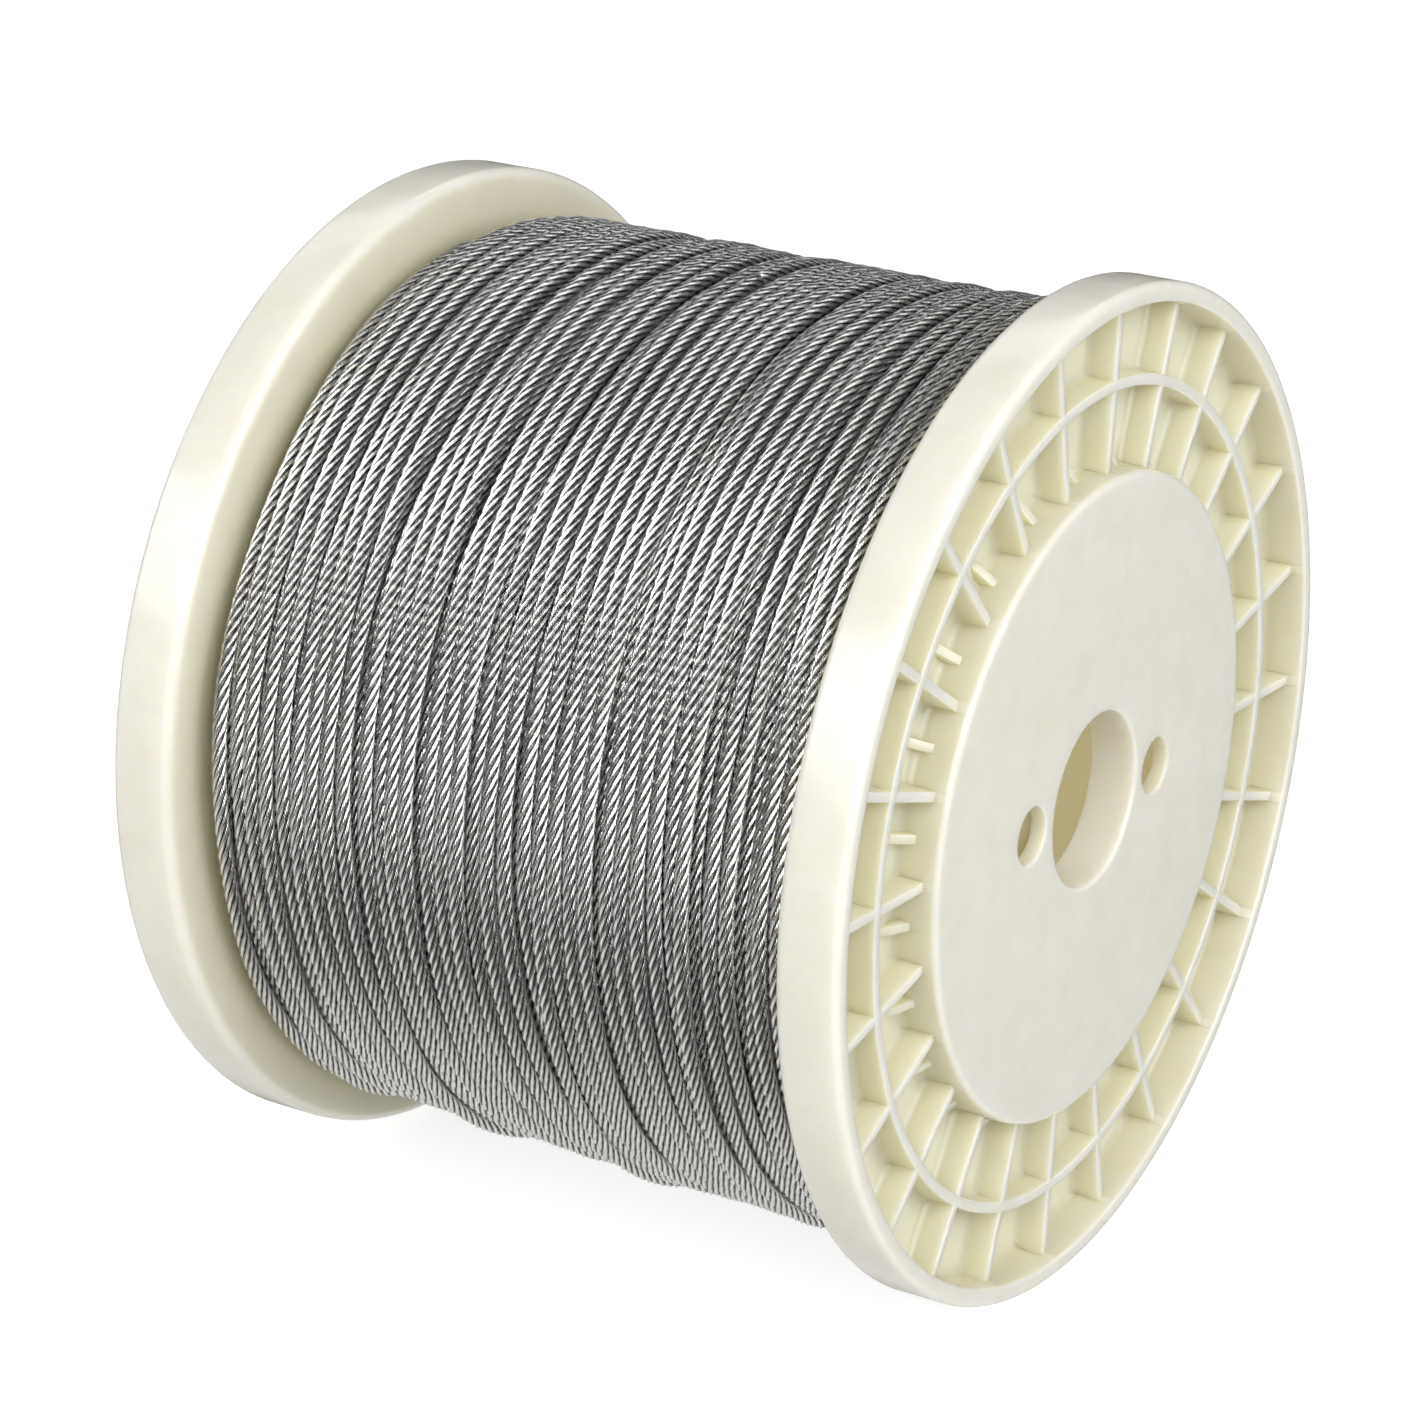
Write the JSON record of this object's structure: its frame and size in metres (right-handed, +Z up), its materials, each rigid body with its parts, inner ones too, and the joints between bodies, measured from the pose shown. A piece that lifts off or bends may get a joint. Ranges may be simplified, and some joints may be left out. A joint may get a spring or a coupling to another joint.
{
  "type": "reel of wire rope",
  "caption": "Moulded plastic reel with ribbed end flanges and a central bore, wound nearly full with thin stainless steel wire rope.",
  "frame": {"origin": "on the floor under the middle of the reel, which lies on the rims of its two flanges", "axes": "+X along the reel's axis, out of the flange that faces the camera; +Z up"},
  "size_m": [0.1584, 0.2, 0.2],
  "materials": {
    "flange_near": "moulded ivory plastic, glossy and slightly translucent",
    "flange_far": "moulded ivory plastic, glossy and slightly translucent",
    "barrel": "moulded ivory plastic, hidden under the rope",
    "wire_rope": "bright drawn stainless steel wire, stranded and wound in level turns"
  },
  "bodies": {
    "root": {"flange_near": "flange_near", "flange_far": "flange_far", "barrel": "barrel", "wire_rope": "wire_rope"}
  },
  "joints": []
}
